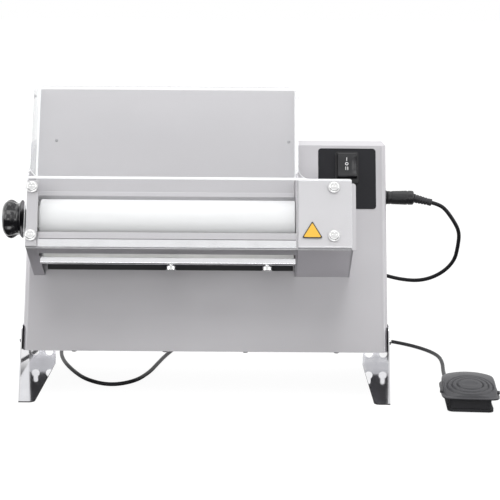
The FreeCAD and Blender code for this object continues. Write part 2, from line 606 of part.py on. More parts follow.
def make_shield_screws():
    screws, washers = [], []
    for x, s in SHIELD_SCREWS:
        face = at_head(x, s, HEAD_N + CLEAR_T)
        washer = Part.makeCylinder(7.3, 1.0, face, OUT_PANEL)
        washers.append(washer.cut(Part.makeCylinder(2.6, 9, face - OUT_PANEL * 3, OUT_PANEL)))
        screws.append(pan_screw(face + OUT_PANEL, OUT_PANEL, 6.0, 3.4, 2.4, 4.6))
    save("shield_screws", *screws)
    save("shield_washers", *washers)


# ---------------------------------------------------------------- controls
LABEL_X, LABEL_S = (143.8, 218.4), (185.8, 266.0)
LABEL_T = 0.5
SWITCH_X, SWITCH_S = (166.0, 195.8), (219.8, 261.2)
SWITCH_HOLE_X, SWITCH_HOLE_S = (166.8, 195.0), (222.0, 260.4)
ROCKER_X, ROCKER_S = (168.3, 193.5), 242.3
ROCKER_AXIS_N = 1.0
SOCKET_AT, SOCKET_R = (-50.0, 243.5), 8.0
GLAND_AT = (-120.0, -30.0)


ROCKER_AXIS_N, PIVOT_R, PIVOT_X = 1.0, 1.5, (167.4, 194.4)


def make_controls():
    label = head_box(*LABEL_S, 0.05, LABEL_T, *LABEL_X)
    corners = [at_head(x, s, 0.2) for x in LABEL_X for s in LABEL_S]
    label = rounded(label, 4.0, OUT_PANEL, *corners)
    label = label.cut(head_box(*SWITCH_HOLE_S, -3, 3, *SWITCH_HOLE_X))
    label = label.cut(head_box(180, HEAD_S1 + 0.7, -3, 3, LABEL_X[0] - 5, PLATE_O + PLATE_T + 0.3))
    save("control_label", label)

    bezel = head_box(*SWITCH_S, LABEL_T + 0.05, 3.0, *SWITCH_X)
    corners = [at_head(x, s, 1) for x in SWITCH_X for s in SWITCH_S]
    bezel = rounded(bezel, 2.5, OUT_PANEL, *corners)
    back = head_box(222.2, 260.2, -24.0, 1.0, 167.0, 194.8)
    opening = head_box(ROCKER_S - 17.1, ROCKER_S + 17.1, -9.0, 9.0, ROCKER_X[0] - 0.4, ROCKER_X[1] + 0.4)
    pivot_holes = head_rod(PIVOT_X[0] - 0.15, PIVOT_X[1] + 0.15, ROCKER_S, ROCKER_AXIS_N, PIVOT_R + 0.05)
    save("switch_body", joined(bezel, back).cut(opening).cut(pivot_holes))

    side = [(15.2, 9.2), (16.3, 3.0), (15.4, -5.5)]
    profile = [(ROCKER_S - ds, n) for ds, n in side[::-1]] + [(ROCKER_S, 7.6)]
    profile += [(ROCKER_S + ds, n) for ds, n in side]
    rocker = head_prism(profile, *ROCKER_X)
    ends = [at_head(ROCKER_X[0], ROCKER_S + sign * 15.2, 9.2) for sign in (-1, 1)]
    rocker = rounded(rocker, 1.4, X_AXIS, *ends)
    pivots = head_rod(*PIVOT_X, ROCKER_S, ROCKER_AXIS_N, PIVOT_R)
    save("switch_rocker", joined(rocker, pivots))

    base_s, apex_s, face = 132.8, 154.0, HEAD_N + CLEAR_T
    corners = [(119.6, base_s), (145.3, base_s), (132.5, apex_s)]
    wire = Part.makePolygon([at_head(x, s, face + 0.05) for x, s in corners + corners[:1]])
    save("triangle_label", Part.Face(wire).extrude(OUT_PANEL * 0.4))

    flange = rod(HALF + 0.05, 235.0, *SOCKET_AT, 9.6)
    barrel = rod(216.0, 232.0, *SOCKET_AT, SOCKET_R - 0.05)
    cavity = rod(220.0, 240.0, *SOCKET_AT, 6.6)
    save("pedal_socket", joined(flange, barrel).cut(cavity))

    gland = joined(Part.makeCylinder(8.0, 12, Vector(*GLAND_AT, 54.0)),
                   Part.makeCylinder(11.0, 4, Vector(*GLAND_AT, 56.6)),
                   Part.makeCone(5.5, 8.0, 6, Vector(*GLAND_AT, 48.2)))
    save("mains_gland", gland.cut(Part.makeCylinder(4.0, 40, Vector(*GLAND_AT, 40.0))))


# ---------------------------------------------------------------- gap knob
KNOB_X1 = -229.5
KNOB_R, KNOB_LOBE, KNOB_LOBES = 22.6, 2.4, 7


def make_knob():
    centre = on_head(AXIS_S, AXIS_N)
    points = []
    for k in range(KNOB_LOBES * 8):
        a = 2 * math.pi * k / (KNOB_LOBES * 8)
        r = KNOB_R + KNOB_LOBE * math.cos(KNOB_LOBES * a)
        points.append(Vector(KNOB_TIP_X, centre[0] + r * math.cos(a), centre[1] + r * math.sin(a)))
    curve = Part.BSplineCurve()
    curve.interpolate(points, PeriodicFlag=True)
    grip = Part.Face(Part.Wire(curve.toShape())).extrude(Vector(15.0, 0, 0))
    waist = rod(KNOB_TIP_X + 14.9, KNOB_X1 - 4.5, *centre, 20.0)
    collar = rod(KNOB_X1 - 4.6, KNOB_X1, *centre, 24.0)
    boss = rod(KNOB_X1 - 0.1, -220.3, *centre, 11.0)
    knob = joined(grip, waist, collar, boss)
    save("gap_knob", knob.cut(rod(-231.1, -200, *centre, KNOB_SHAFT_R)))


# ---------------------------------------------------------------- foot pedal
PIN_AT, PIN_R = (-190.5, 21.0), 2.2
PIN_L = LIP_W / 2 + PIN_OUT - 23.3
DOME_R, DOME_BACK, DOME_TOP, COVER_T, PRESS = 110.0, 16.0, 35.5, 2.6, 4.0


def make_pedal():
    x0, x1 = PEDAL_X - LIP_W / 2, PEDAL_X + LIP_W / 2
    lip = rounded_block(x0, x1, LIP_Y0, LIP_Y1, LIP_Z, LIP_Z + 2.4, LIP_R)
    body = rounded_block(x0 + 2.4, x1 - 2.4, LIP_Y0 + 2.4, LIP_Y1 - 2.4, LIP_Z + 2.3, 40, 13)
    dome_centre = Vector(PEDAL_X, PEDAL_Y + DOME_BACK, DOME_TOP - DOME_R)
    body = body.common(Part.makeSphere(DOME_R, dome_centre))
    cavity = rounded_block(x0 + 5, x1 - 5, LIP_Y0 + 5, LIP_Y1 - 5, LIP_Z - 1, 40, 10.5)
    cavity = cavity.common(Part.makeSphere(DOME_R - COVER_T, dome_centre))
    pin_line = Part.makeCylinder(PIN_R, LIP_W + 10, Vector(x0 - 5, *PIN_AT), X_AXIS)
    save_pedal("pedal_cover", joined(lip, body).cut(cavity).cut(pin_line))

    b0, b1, f0, f1 = PEDAL_X - 28.2, PEDAL_X + 28.2, -211.0, -147.0
    floor = rounded_block(b0, b1, f0, f1, 1.2, 5.0, 7)
    wall = rounded_block(b0 + 2.5, b1 - 2.5, f0 + 3.0, f1 - 1.5, 4.9, 24.0, 6)
    wall = wall.common(Part.makeSphere(DOME_R - COVER_T, dome_centre - Vector(0, 0, PRESS + 0.5)))
    hollow = rounded_block(b0 + 5, b1 - 5, f0 + 5.5, f1 - 4, 4.9, 30.0, 4)
    post = Part.makeCylinder(4.0, 8, Vector(PEDAL_X, PEDAL_Y, 4.9))
    base = joined(floor, wall.cut(hollow), post)
    for side in (-1, 1):
        x = PEDAL_X + side * 25
        base = base.cut(box(x - 6, x + 6, -193.5, -187.5, 12.0, 25.0))
    base = base.cut(Part.makeCylinder(4.0, 12, Vector(PEDAL_X + PEDAL_CORD_DX, -154, PEDAL_CORD_Z), Y_AXIS))
    save_pedal("pedal_base", base)
    feet = [Part.makeCylinder(5.0, 1.2, Vector(x, y, 0)) for x in (b0 + 9, b1 - 9) for y in (f0 + 9, f1 - 9)]
    save_pedal("pedal_feet", *feet)

    pins = []
    for side in (-1, 1):
        pin = Part.makeCylinder(PIN_R, PIN_L, Vector(PEDAL_X + side * 23.3, *PIN_AT), X_AXIS * side)
        pins.append(pin)
    save_pedal("pedal_pins", *pins)

    turns, low, high = 5, 13.8, 29.2
    helix = Part.makeHelix((high - low) / turns, high - low, 6.5)
    section = Part.Wire(Part.makeCircle(0.8, Vector(6.5, 0, 0), Y_AXIS))
    spring = Part.Wire(helix.Edges).makePipeShell([section], True, True)
    spring.translate(Vector(PEDAL_X, PEDAL_Y, low))
    save_pedal("pedal_spring", spring)

    block = box(PEDAL_X - 10, PEDAL_X + 10, -170.0, -160.0, 5.05, 16.0)
    save_pedal("pedal_switch", joined(block, box(PEDAL_X - 3, PEDAL_X + 1, -167.0, -163.0, 15.9, 18.0)))

    gland = Part.makeCone(3.95, 3.2, 14.0, Vector(PEDAL_X + PEDAL_CORD_DX, f1 - 1.4, PEDAL_CORD_Z), Y_AXIS)
    inner = Part.makeCylinder(3.9, 4.0, Vector(PEDAL_X + PEDAL_CORD_DX, f1 - 4.4, PEDAL_CORD_Z), Y_AXIS)
    save_pedal("pedal_strain_relief", joined(gland, inner))


# ---------------------------------------------------------------- pedal cord
PEDAL_CORD_DX, PEDAL_CORD_Z = -16.0, 9.0
PLUG_END = (271.0, -50.0, 243.0)
RELIEF_END = (294.8, -50.0, 237.2)
CORD_ROUTE = [
    RELIEF_END, (303.5, -50, 235.08), (313.6, -49.5, 228.9), (327, -48, 210.6), (334.1, -45, 196.4),
    (333.8, -40, 177.9), (331.1, -31, 154.8), (314.5, -22, 135.1), (290.6, -11, 123.2), (263.6, 1, 122.2),
    (234.9, 17, 127), (204, 38, 128), (172, 64, 113),
    (140, 92, 84), (110, 118, 50), (78, 138, 21), (38, 150, 2.6), (-14, 153, 2.6), (-68, 155, 2.6),
    (-121, 153, 2.6), (-168, 144, 2.6), (-202, 121, 2.6), (-216, 84, 2.6), (-213, 44, 2.6), (-203, 3, 2.6),
    (-186, -40, 2.6), (-160, -80, 2.6), (-124, -104, 2.6), (-91, -88, 2.6), (-74, -50, 2.6), (-66, -6, 2.6),
    (-62, 40, 2.6), (-50, 82, 2.6), (-24, 112, 2.6), (20, 126, 2.6), (72, 131, 2.6), (128, 134, 2.6),
    (186, 138, 2.6), (240, 136, 2.6), (280, 112, 2.6), (309, 80, 2.6), (325, 46, 2.6), (326, 8, 2.6),
    (320, -40, 2.6), (317, -90, 4.0), (318.72, -133.39, PEDAL_CORD_Z)]


def cord_path(route):
    """Straight runs joined by tangent arcs; each arc takes 0.45 of the shorter run beside it."""
    points = [Vector(*p) for p in route]
    edges, radii, at = [], [], points[0]
    for before, corner, after in zip(points, points[1:], points[2:]):
        u, v = corner - before, after - corner
        trim = 0.45 * min(u.Length, v.Length)
        u.normalize()
        v.normalize()
        half = u.getAngle(v) / 2
        radii.append(trim / math.tan(half))
        start, end = corner - u * trim, corner + v * trim
        towards = v - u
        towards.normalize()
        middle = corner + towards * (radii[-1] * (1 / math.cos(half) - 1))
        edges.append(Part.LineSegment(at, start).toShape())
        edges.append(Part.Arc(start, middle, end).toShape())
        at = end
    edges.append(Part.LineSegment(at, points[-1]).toShape())
    return Part.Wire(edges), radii


def make_cord():
    plug = joined(rod(235.2, 270.9, *SOCKET_AT, 9.0), rod(221.0, 236.0, *SOCKET_AT, 6.2))
    rings = [rod(240.0 + 5.2 * k, 242.6 + 5.2 * k, *SOCKET_AT, 9.4) for k in range(3)]
    plug = joined(plug, *rings)
    save("cord_plug", plug)
    start, end = Vector(*PLUG_END), Vector(*RELIEF_END)
    along = end - start
    relief = Part.makeCone(5.8, 4.2, along.Length, start, along)
    save("plug_strain_relief", relief.cut(box(200, 270.95, -70, -30, 220, 260)))
    wire, radii = cord_path(CORD_ROUTE)
    first = Vector(*CORD_ROUTE[1]) - Vector(*CORD_ROUTE[0])
    section = Part.Wire(Part.makeCircle(CORD_R, Vector(*CORD_ROUTE[0]), first))
    tube_solid = wire.makePipeShell([section], True, True)
    expected = math.pi * CORD_R ** 2 * wire.Length
    print("cord length", round(wire.Length), "radii", [round(r) for r in radii])
    print("cord volume over section times length", round(tube_solid.Volume / expected, 4))
    save("pedal_cord", tube_solid)


# ---------------------------------------------------------------- build
make_casing()
make_rear_cover()
make_bottom_plate()
make_casing_screws()
make_leg("right_leg_bracket", 1)
make_leg("left_leg_bracket", -1)
make_leg_bolts()
make_head_plates()
make_gear_cover()
make_bars()
make_adjuster()
make_slide_blocks()
make_rollers()
output_at = make_gears()
make_drive(output_at)
wing_screws = make_shield()
rivet_heads = make_chute()
save("hopper_fixings", *wing_screws, *rivet_heads)
make_shield_screws()
make_controls()
make_knob()
make_pedal()
make_cord()
print("output shaft at", [round(v, 3) for v in output_at], "origin shift", ORIGIN)
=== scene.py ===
import json
import math

import bmesh
import bpy
from mathutils import Matrix, Vector


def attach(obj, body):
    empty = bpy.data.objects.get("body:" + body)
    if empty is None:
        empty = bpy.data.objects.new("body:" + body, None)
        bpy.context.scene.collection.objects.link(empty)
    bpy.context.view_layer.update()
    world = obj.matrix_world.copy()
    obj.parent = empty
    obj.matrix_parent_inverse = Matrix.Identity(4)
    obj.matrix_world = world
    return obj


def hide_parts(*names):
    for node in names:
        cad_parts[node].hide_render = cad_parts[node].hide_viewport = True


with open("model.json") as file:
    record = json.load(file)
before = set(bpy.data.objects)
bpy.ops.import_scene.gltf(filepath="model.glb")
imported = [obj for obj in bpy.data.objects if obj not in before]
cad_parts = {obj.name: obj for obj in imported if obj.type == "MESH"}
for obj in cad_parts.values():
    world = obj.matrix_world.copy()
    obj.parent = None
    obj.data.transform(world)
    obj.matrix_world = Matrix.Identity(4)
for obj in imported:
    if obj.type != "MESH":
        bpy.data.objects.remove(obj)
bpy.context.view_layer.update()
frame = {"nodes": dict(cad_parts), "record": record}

# ---------------------------------------------------------------- the part's own numbers, millimetres
# "Machine" points have X=0 at the casing's middle, Y=0 on its rear plane and Z=0 on the table.
ROW_SHIFT = Vector((-57.3933, 108.7247, 0.0))
LEAN = math.radians(21.0)
PANEL_Y, PANEL_Z = -155.5, 60.7
AXIS_S, AXIS_N = 162.0, 38.0
HEAD_N, HEAD_TOP_S = 73.0, 207.3


def at(x, y, z):
    """A machine point in millimetres as a row point in metres."""
    return (Vector((x, y, z)) + ROW_SHIFT) / 1000


def on_head(s, n):
    """Y and Z of a point s up the front panel and n out from it."""
    y = PANEL_Y + s * math.sin(LEAN) - n * math.cos(LEAN)
    return y, PANEL_Z + s * math.cos(LEAN) + n * math.sin(LEAN)


def head_at(x, s, n):
    return at(x, *on_head(s, n))


OUT = Vector((0, -math.cos(LEAN), math.sin(LEAN)))
UP = Vector((0, math.sin(LEAN), math.cos(LEAN)))
ALONG_X = Vector((1, 0, 0))

# ---------------------------------------------------------------- materials
SCENE = bpy.context.scene


def set_range(node, low, high, source_low, source_high):
    ends = {"From Min": source_low, "From Max": source_high, "To Min": low, "To Max": high}
    for key, number in ends.items():
        node.inputs[key].default_value = number


class Nodes:
    """A short way to write a node tree."""

    def __init__(self, name):
        self.material = bpy.data.materials.new(name)
        self.material.use_nodes = True
        self.tree = self.material.node_tree
        self.shader = self.tree.nodes["Principled BSDF"]

    def add(self, kind, **inputs):
        node = self.tree.nodes.new(kind)
        for key, value in inputs.items():
            if key == "operation":
                node.operation = value
            else:
                node.inputs[key.replace("_", " ")].default_value = value
        return node

    def link(self, source, target):
        self.tree.links.new(source, target)

    def set(self, **inputs):
        for key, value in inputs.items():
            self.shader.inputs[key.replace("_", " ")].default_value = value

    def noise(self, scale, detail=4.0, roughness=0.55):
        """Noise over the object's own coordinates; scale is per metre along X, Y and Z."""
        coords = self.add("ShaderNodeTexCoord")
        mapping = self.add("ShaderNodeMapping", Scale=scale)
        self.link(coords.outputs["Object"], mapping.inputs["Vector"])
        noise = self.add("ShaderNodeTexNoise", Scale=1.0, Detail=detail, Roughness=roughness)
        self.link(mapping.outputs["Vector"], noise.inputs["Vector"])
        return noise.outputs["Fac"]

    def ranged(self, value, low, high, source_low=0.3, source_high=0.7):
        node = self.add("ShaderNodeMapRange")
        self.link(value, node.inputs["Value"])
        set_range(node, low, high, source_low, source_high)
        return node.outputs["Result"]

    def colour(self, value, dark, light, low=0.3, high=0.7):
        ramp = self.tree.nodes.new("ShaderNodeValToRGB")
        ramp.color_ramp.elements[0].position, ramp.color_ramp.elements[1].position = low, high
        ramp.color_ramp.elements[0].color = (*dark, 1)
        ramp.color_ramp.elements[1].color = (*light, 1)
        self.link(value, ramp.inputs["Fac"])
        self.link(ramp.outputs["Color"], self.shader.inputs["Base Color"])

    def bump(self, value, strength, distance):
        node = self.add("ShaderNodeBump", Strength=strength, Distance=distance)
        self.link(value, node.inputs["Height"])
        self.link(node.outputs["Normal"], self.shader.inputs["Normal"])


def tinted(base, factor):
    return tuple(min(1.0, c * factor) for c in base)


STRETCH_ALONG = (0.0, 0.02, 1.0)        # up every upright sheet, back along a flat one
MARK_SHIFT = 0.03                       # how far soft handling marks change the roughness


def brushed(name, base, rough=(0.40, 0.46), grain=(5, 900, 900), variation=0.010, bump=0.003, stretch=0.0):
    """Brushed or ground metal: streaks along the grain and soft marks; stretch draws reflections out."""
    m = Nodes(name)
    m.set(Metallic=1.0)
    streaks = m.noise(grain, 5.0, 0.6)
    m.colour(streaks, tinted(base, 1 - variation), tinted(base, 1 + variation))
    marks = m.noise((9, 9, 9), 3.0)
    blend = m.add("ShaderNodeMath", operation="ADD")
    m.link(m.ranged(streaks, rough[0], rough[1]), blend.inputs[0])
    m.link(m.ranged(marks, -MARK_SHIFT, MARK_SHIFT), blend.inputs[1])
    m.link(blend.outputs[0], m.shader.inputs["Roughness"])
    m.bump(streaks, bump, 0.0002)
    if stretch:
        m.set(Anisotropic=stretch)
        tangent = m.tree.nodes.new("ShaderNodeCombineXYZ")
        for socket, value in zip(tangent.inputs, STRETCH_ALONG):
            socket.default_value = value
        m.link(tangent.outputs["Vector"], m.shader.inputs["Tangent"])
    return m.material


def polished(name, base, rough=(0.05, 0.12), wave=0.05):
    """Bright metal that mirrors, a little uneven, with faint wipe marks."""
    m = Nodes(name)
    m.set(Metallic=1.0)
    marks = m.noise((30, 30, 30), 4.0)
    m.colour(marks, tinted(base, 0.95), tinted(base, 1.03))
    m.link(m.ranged(marks, *rough), m.shader.inputs["Roughness"])
    m.bump(m.noise((14, 14, 14), 1.0), wave, 0.002)
    return m.material


def moulded(name, base, rough=(0.35, 0.5), grain=900.0, bump=0.15, variation=0.08, coat=0.0, specular=0.5):
    """Moulded plastic or rubber: fine surface grain and slow changes of tone."""
    m = Nodes(name)
    m.set(Coat_Weight=coat, Coat_Roughness=0.08, Specular_IOR_Level=specular)
    slow = m.noise((22, 22, 22), 3.0)
    m.colour(slow, tinted(base, 1 - variation), tinted(base, 1 + variation))
    fine = m.noise((grain, grain, grain), 3.0)
    m.link(m.ranged(slow, *rough), m.shader.inputs["Roughness"])
    m.bump(fine, bump, 0.00015)
    return m.material


def turned(name, base, rough=(0.32, 0.42)):
    """Turned white plastic: fine rings round X and a faint flour-worn tone."""
    m = Nodes(name)
    rings = m.noise((1400, 3, 3), 3.0, 0.6)
    slow = m.noise((10, 30, 30), 3.0)
    m.colour(slow, tinted(base, 0.965), tinted(base, 1.01))
    m.link(m.ranged(slow, *rough), m.shader.inputs["Roughness"])
    m.bump(rings, 0.06, 0.0001)
    m.set(Subsurface_Weight=0.08, Subsurface_Radius=(0.004, 0.004, 0.004))
    return m.material


def clear(name, facing=0.03, grazing=0.5):
    """Clear sheet: nearly see-through face on, more mirror-like at a grazing angle."""
    m = Nodes(name)
    smear = m.noise((7, 7, 25), 3.0)
    m.colour(smear, (0.86, 0.89, 0.90), (0.95, 0.97, 0.97))
    m.link(m.ranged(smear, 0.03, 0.10), m.shader.inputs["Roughness"])
    m.set(IOR=1.58, Specular_IOR_Level=1.0)
    weight = m.add("ShaderNodeLayerWeight", Blend=0.35)
    m.link(m.ranged(weight.outputs["Facing"], facing, grazing, 0.0, 1.0), m.shader.inputs["Alpha"])
    return m.material


def painted_glow_clear_edge(name, alpha, glow):
    """The cut edge of clear sheet, which gathers light: its brightness is a painted glow, an emission of
    strength glow.
    """
    m = Nodes(name)
    saw = m.noise((300, 300, 300), 3.0)
    m.colour(saw, (0.90, 0.92, 0.93), (0.98, 0.99, 0.99))
    m.link(m.ranged(saw, 0.15, 0.3), m.shader.inputs["Roughness"])
    # The emission is painted light: a glow standing in for the light the edge gathers.
    m.set(Alpha=alpha, Emission_Color=(1, 1, 1, 1), Emission_Strength=glow)
    return m.material


def cast(name, base):
    """Cast or cut metal with a fine matt grain."""
    m = Nodes(name)
    m.set(Metallic=0.85)
    grain = m.noise((500, 500, 500), 4.0)
    m.colour(grain, tinted(base, 0.88), tinted(base, 1.05))
    m.link(m.ranged(grain, 0.45, 0.62), m.shader.inputs["Roughness"])
    m.bump(grain, 0.25, 0.0003)
    return m.material


MATERIALS = {
    "stainless": brushed("m_stainless", (0.60, 0.59, 0.61)),
    "polished_steel": polished("m_polished_steel", (0.76, 0.76, 0.78), (0.03, 0.08), 0.02),
    "screw_steel": polished("m_screw_steel", (0.86, 0.86, 0.86), (0.12, 0.22)),
    "white_nylon": moulded("m_white_nylon", (0.83, 0.83, 0.81)),
    "shaft_steel": brushed("m_shaft_steel", (0.55, 0.55, 0.55), grain=(900, 20, 20)),
    "roller_white": turned("m_roller_white", (0.90, 0.905, 0.91)),
    "bronze": cast("m_bronze", (0.62, 0.44, 0.22)),
    "gear_steel": brushed("m_gear_steel", (0.42, 0.42, 0.42), grain=(60, 300, 300)),
    "cast_alloy": cast("m_cast_alloy", (0.6, 0.6, 0.61)),
    "motor_paint": moulded("m_motor_paint", (0.16, 0.17, 0.19)),
    "white_plastic": moulded("m_white_plastic", (0.75, 0.75, 0.74)),
    "clear_sheet": clear("m_clear_sheet"),
    "black_plastic": moulded("m_black_plastic", (0.012, 0.012, 0.014), (0.30, 0.42)),
    "label_grey": moulded("m_label_grey", (0.008, 0.008, 0.011), (0.40, 0.5), 1500.0, 0.06, specular=0.3),
    "label_yellow": moulded("m_label_yellow", (0.86, 0.50, 0.06), (0.3, 0.4), 1200.0, 0.04, 0.03),
    "gloss_black": moulded("m_gloss_black", (0.006, 0.006, 0.008), (0.12, 0.18), 700.0, 0.02, 0.05, 0.6),
    "pedal_plastic": moulded("m_pedal_plastic", (0.042, 0.042, 0.047), (0.38, 0.5), 1100.0, 0.2),
    "black_rubber": moulded("m_black_rubber", (0.018, 0.018, 0.021), (0.45, 0.6), 900.0, 0.2),
    "spring_steel": brushed("m_spring_steel", (0.4, 0.4, 0.4), grain=(300, 300, 60)),
    "cord_jacket": moulded("m_cord_jacket", (0.010, 0.010, 0.012), (0.36, 0.48), 900.0, 0.12, specular=0.25),
}
# Painted highlights: the clear sheets' cut edges and the shield's bend glow by emission.
EDGE = painted_glow_clear_edge("m_clear_edge", 1.0, 0.35)
BEND = painted_glow_clear_edge("m_clear_bend_painted_highlight", 0.55, 0.25)
RIVET = cast("m_rivet", (0.34, 0.34, 0.35))
PANEL = brushed("m_panel", (0.60, 0.59, 0.61), (0.52, 0.58), stretch=0.85)
CHUTE = brushed("m_chute", (0.54, 0.53, 0.55), (0.42, 0.48))
BRIGHT = brushed("m_bright_sheet", (0.72, 0.71, 0.73), (0.34, 0.40))
BAR = polished("m_bar", (0.90, 0.90, 0.92), (0.16, 0.22))
# Own finishes, and painted shade: rear_scraper and pedal_base take black rubber to stand in for the deep
# shadow under the roller head and in the pedal's recess.
FINISHES_AND_PAINTED_SHADE = {"hopper_fixings": RIVET, "casing": PANEL, "chute": CHUTE,
              "gear_cover": BRIGHT, "scraper_bar": BAR,
              "rear_scraper": MATERIALS["black_rubber"], "pedal_pins": MATERIALS["pedal_plastic"],
              "pedal_base": MATERIALS["black_rubber"]}
MARK = moulded("m_mark_white", (0.80, 0.80, 0.80), (0.4, 0.5), 1200.0, 0.03, 0.02)
RIM = moulded("m_rim_dark", (0.025, 0.023, 0.02), (0.35, 0.45), 1200.0, 0.04, 0.05)

for part in frame["record"]["subparts"]:
    node = frame["nodes"][part["node"]]
    node.data.materials.clear()
    node.data.materials.append(MATERIALS[part["material_slot"]])
for name, finish in FINISHES_AND_PAINTED_SHADE.items():
    frame["nodes"][name].data.materials[0] = finish


# ---------------------------------------------------------------- mesh helpers
def piece(name, mesh, body, materials, replaced=(), smooth=True):
    obj = bpy.data.objects.new(name, mesh)
    SCENE.collection.objects.link(obj)
    for m in materials:
        mesh.materials.append(m)
    for polygon in mesh.polygons:
        polygon.use_smooth = smooth
    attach(obj, body)
    if replaced:
        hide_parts(*replaced)
    return obj


def finished(bm, name):
    bmesh.ops.recalc_face_normals(bm, faces=bm.faces)
    mesh = bpy.data.meshes.new(name)
    bm.to_mesh(mesh)
    bm.free()
    return mesh


def bevelled(obj, width, segments=3, angle=30):
    """Round an object's sharp edges; width in millimetres."""
    modifier = obj.modifiers.new("edges", "BEVEL")
    modifier.width, modifier.segments = width / 1000, segments
    modifier.limit_method, modifier.angle_limit = "ANGLE", math.radians(angle)
    modifier.harden_normals = True


def bridge(bm, rings, count):
    """Faces between each ring and the next; a ring of one vertex is a closed end."""
    for near, far in zip(rings, rings[1:]):
        for k in range(count):
            n = (k + 1) % count
            if len(near) == 1:
                bm.faces.new((near[0], far[n], far[k]))
            elif len(far) == 1:
                bm.faces.new((near[k], near[n], far[0]))
            else:
                bm.faces.new((near[k], near[n], far[n], far[k]))


def prism_mesh(name, outline, depth):
    """A plate: outline is row points in order, depth a vector through the plate."""
    bm = bmesh.new()
    low = [bm.verts.new(p) for p in outline]
    high = [bm.verts.new(p + depth) for p in outline]
    count = len(outline)
    bm.faces.new(low)
    bm.faces.new(high)
    for k in range(count):
        bm.faces.new((low[k], low[(k + 1) % count], high[(k + 1) % count], high[k]))
    return finished(bm, name)


def lathe_mesh(name, origin, axis, profile, segments=64, radius=None):
    """Turn (along, r) in millimetres about axis from origin; radius(along, r, angle) can shape the rings."""
    axis = axis.normalized()
    side = axis.orthogonal().normalized()
    if abs(axis.x) > 0.9:
        side = (Vector((0, 0, 1)) - axis * axis.z).normalized()
    other = axis.cross(side)
    bm = bmesh.new()
    rings = []
    for along, r in profile:
        centre = origin + axis * (along / 1000)
        if r <= 0:
            rings.append([bm.verts.new(centre)])
            continue
        ring = []
        for k in range(segments):
            a = 2 * math.pi * k / segments
            rr = (radius(along, r, a) if radius else r) / 1000
            ring.append(bm.verts.new(centre + side * (rr * math.cos(a)) + other * (rr * math.sin(a))))
        rings.append(ring)
    bridge(bm, rings, segments)
    return finished(bm, name)


# ---------------------------------------------------------------- camera, floor and light
CAMERA_AT = (58.4, -1725.6, 491.5)
CAMERA_PAN, CAMERA_TILT, CAMERA_ROLL = 0.085, 79.2, 0.376        # degrees
LENS, SENSOR_WIDTH, CLIP_END = 92.376, 36.0, 200

camera = bpy.data.objects.new("camera", bpy.data.cameras.new("camera"))
SCENE.collection.objects.link(camera)
camera.data.lens, camera.data.sensor_width = LENS, SENSOR_WIDTH
camera.data.clip_end = CLIP_END
camera.matrix_world = (Matrix.Translation(at(*CAMERA_AT))
                       @ Matrix.Rotation(math.radians(CAMERA_PAN), 4, "Z")
                       @ Matrix.Rotation(math.radians(CAMERA_TILT), 4, "X")
                       @ Matrix.Rotation(math.radians(CAMERA_ROLL), 4, "Z"))
SCENE.camera = camera
SCENE.view_settings.view_transform = "Standard"

# The floor and the room look white to the camera. Every other ray, so every reflection and bounce, meets the
# tones below instead: painted reflection and shade, dark in front of and under the machine and bright behind
# it, which is what darkens the undersides and feet.
SKY_LOW_HIGH, SKY_BACK, SKY_SIDE = (0.80, 0.90), 1.3, 0.8
FLOOR_HALF, FLOOR_GLOW, FLOOR_GREY = 40.0, 0.93, 0.12
FLOOR_Y = (-1.2, 0.5)                   # metres, front to back
# (Y, tone) for rays that do not come from the camera: painted reflection, dark in front of and under the
# machine, bright behind it
PAINTED_REFLECTION_TONES = ((-1.2, 0.8), (-0.9, 0.5), (-0.6, 0.10), (0.05, 0.06), (0.13, 1.0), (0.5, 1.1))


def make_floor():
    """White with a faint contact shadow to camera rays; to every other ray, painted reflection tones keyed by
    Y.
    """
    half = FLOOR_HALF
    mesh = bpy.data.meshes.new("floor")
    corners = [(-half, -half, 0), (half, -half, 0), (half, half, 0), (-half, half, 0)]
    mesh.from_pydata(corners, [], [(0, 1, 2, 3)])
    floor = bpy.data.objects.new("floor", mesh)
    SCENE.collection.objects.link(floor)
    m = Nodes("m_floor")
    tree = m.tree
    coords = m.add("ShaderNodeTexCoord")
    split = m.add("ShaderNodeSeparateXYZ")
    m.link(coords.outputs["Object"], split.inputs["Vector"])
    ramp = tree.nodes.new("ShaderNodeValToRGB")
    m.link(m.ranged(split.outputs["Y"], 0.0, 1.0, *FLOOR_Y), ramp.inputs["Fac"])
    elements = ramp.color_ramp.elements
    while len(elements) < len(PAINTED_REFLECTION_TONES):
        elements.new(0.5)
    for element, (y, value) in zip(elements, PAINTED_REFLECTION_TONES):
        element.position = (y - FLOOR_Y[0]) / (FLOOR_Y[1] - FLOOR_Y[0])
        element.color = (value, value, value, 1)
    # Painted reflection: this emission, keyed by Y, is the floor as reflections and bounces see it.
    seen = m.add("ShaderNodeEmission", Strength=1.0)
    m.link(ramp.outputs["Color"], seen.inputs["Color"])
    glow = m.add("ShaderNodeEmission", Color=(1, 1, 1, 1), Strength=FLOOR_GLOW)
    shaded = m.add("ShaderNodeBsdfDiffuse", Color=(FLOOR_GREY, FLOOR_GREY, FLOOR_GREY, 1))
    both = m.add("ShaderNodeAddShader")
    m.link(glow.outputs[0], both.inputs[0])
    m.link(shaded.outputs[0], both.inputs[1])
    light_path = m.add("ShaderNodeLightPath")
    mix = m.add("ShaderNodeMixShader")
    m.link(light_path.outputs["Is Camera Ray"], mix.inputs["Fac"])
    m.link(seen.outputs[0], mix.inputs[1])
    m.link(both.outputs[0], mix.inputs[2])
    m.link(mix.outputs[0], tree.nodes["Material Output"].inputs["Surface"])
    mesh.materials.append(m.material)


